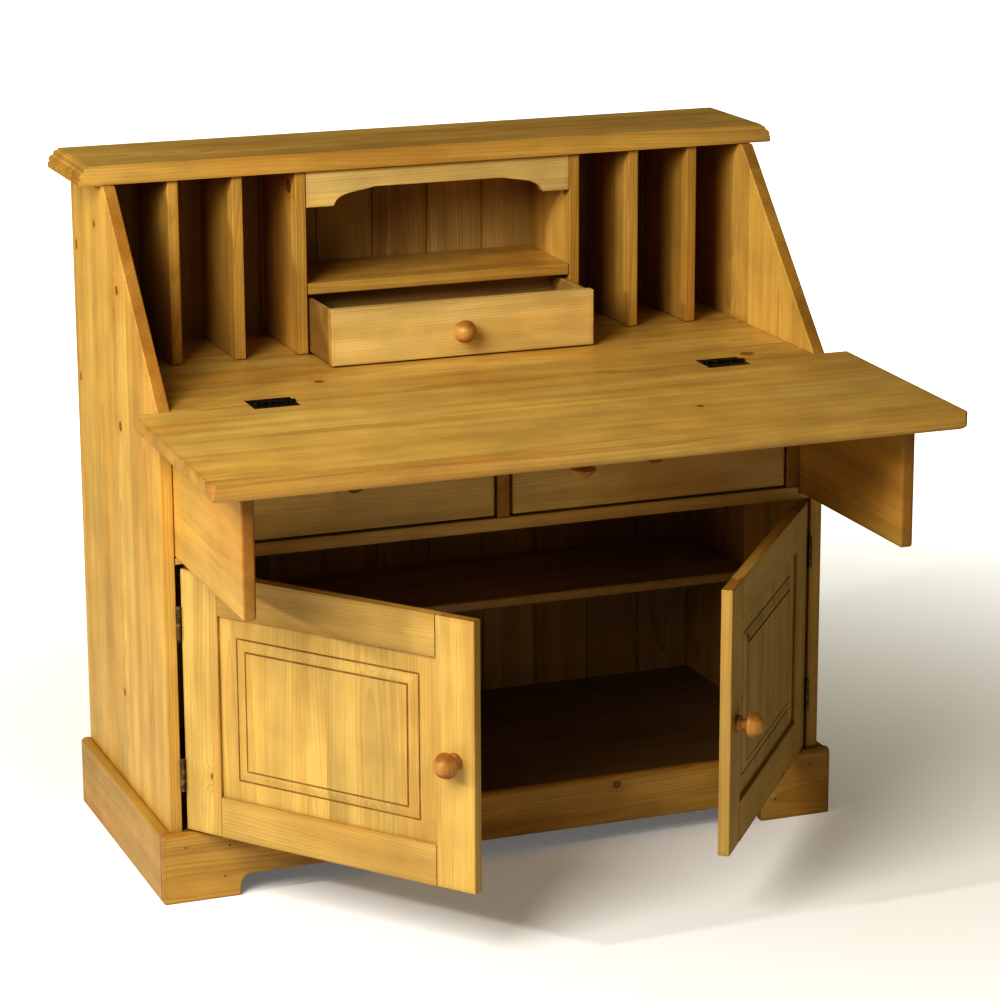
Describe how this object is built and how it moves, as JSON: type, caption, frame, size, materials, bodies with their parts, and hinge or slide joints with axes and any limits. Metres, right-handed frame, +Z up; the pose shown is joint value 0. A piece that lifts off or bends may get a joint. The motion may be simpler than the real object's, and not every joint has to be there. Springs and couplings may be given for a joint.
{
  "type": "slant-front desk",
  "caption": "Waxed pine slant-front bureau: a fall flap on pull-out lopers over drawers and a panelled two-door cupboard, with pigeonholes, a small inner drawer and a bracket plinth.",
  "frame": {"origin": "on the floor, at the middle of the footprint of the whole desk as it stands open", "axes": "+X to the user's right across the desk's width, +Y from the front to the back, +Z up; the front faces -Y"},
  "size_m": [1.154, 0.8982, 1.079],
  "materials": {
    "pine_side": "satin",
    "pine_top": "satin",
    "pine": "satin",
    "pine_inside": "matte",
    "turned_pine": "satin",
    "black_iron": "satin",
    "bronze": "satin"
  },
  "bodies": {
    "carcass": {"side_left": "pine_side", "side_right": "pine_side", "top_board": "pine_top", "writing_board": "pine_top", "back_panel": "pine_inside", "cupboard_floor": "pine_inside", "cupboard_shelf": "pine_inside", "dust_board": "pine", "drawer_wall_left": "pine", "drawer_wall_right": "pine", "drawer_divider": "pine", "upper_rail": "pine", "pigeonhole_shelf": "pine", "valance": "pine", "plinth_front": "pine", "plinth_left": "pine", "plinth_right": "pine", "partition_1": "pine", "partition_2": "pine", "partition_3": "pine", "partition_4": "pine", "partition_5": "pine", "partition_6": "pine", "door_left_lower_hinge_fixed": "bronze", "door_left_upper_hinge_fixed": "bronze", "flap_hinge_left_fixed": "black_iron", "door_right_lower_hinge_fixed": "bronze", "door_right_upper_hinge_fixed": "bronze", "flap_hinge_right_fixed": "black_iron"},
    "flap": {"flap_board": "pine_top", "flap_pull": "turned_pine", "flap_hinge_left_moving": "black_iron", "flap_hinge_right_moving": "black_iron"},
    "loper_left_body": {"loper_left": "pine_side"},
    "loper_right_body": {"loper_right": "pine_side"},
    "inner_drawer": {"inner_drawer_front": "pine", "inner_drawer_box": "pine_inside", "inner_drawer_knob": "turned_pine"},
    "door_left": {"door_left_hinge_stile": "pine_side", "door_left_lock_stile": "pine_side", "door_left_top_rail": "pine_side", "door_left_bottom_rail": "pine_side", "door_left_panel": "pine", "door_left_knob": "turned_pine", "door_left_lower_hinge_moving": "bronze", "door_left_upper_hinge_moving": "bronze"},
    "drawer_left": {"drawer_left_front": "pine", "drawer_left_box": "pine_inside", "drawer_left_knob": "turned_pine"},
    "door_right": {"door_right_hinge_stile": "pine_side", "door_right_lock_stile": "pine_side", "door_right_top_rail": "pine_side", "door_right_bottom_rail": "pine_side", "door_right_panel": "pine", "door_right_knob": "turned_pine", "door_right_lower_hinge_moving": "bronze", "door_right_upper_hinge_moving": "bronze"},
    "drawer_right": {"drawer_right_front": "pine", "drawer_right_box": "pine_inside", "drawer_right_knob": "turned_pine"}
  },
  "joints": [
    {"name": "flap_hinge", "type": "hinge", "parent": "carcass", "child": "flap", "pos_m": [0, -0.03092, 0.76], "axis": [1, 0, 0], "range_deg": [-135, 0]},
    {"name": "loper_left_slide", "type": "slide", "parent": "carcass", "child": "loper_left_body", "axis": [0, -1, 0], "range_m": [-0.346, 0]},
    {"name": "loper_right_slide", "type": "slide", "parent": "carcass", "child": "loper_right_body", "axis": [0, -1, 0], "range_m": [-0.346, 0]},
    {"name": "door_left_hinge", "type": "hinge", "parent": "carcass", "child": "door_left", "pos_m": [-0.51835, -0.03482, 0.317], "axis": [0, 0, -1], "range_deg": [-53, 115]},
    {"name": "door_right_hinge", "type": "hinge", "parent": "carcass", "child": "door_right", "pos_m": [0.51835, -0.03482, 0.317], "axis": [0, 0, 1], "range_deg": [-52, 116]},
    {"name": "inner_drawer_slide", "type": "slide", "parent": "carcass", "child": "inner_drawer", "axis": [0, -1, 0], "range_m": [-0.11, 0.03]},
    {"name": "drawer_left_slide", "type": "slide", "parent": "carcass", "child": "drawer_left", "axis": [0, -1, 0], "range_m": [0, 0.28]},
    {"name": "drawer_right_slide", "type": "slide", "parent": "carcass", "child": "drawer_right", "axis": [0, -1, 0], "range_m": [0, 0.28]}
  ]
}
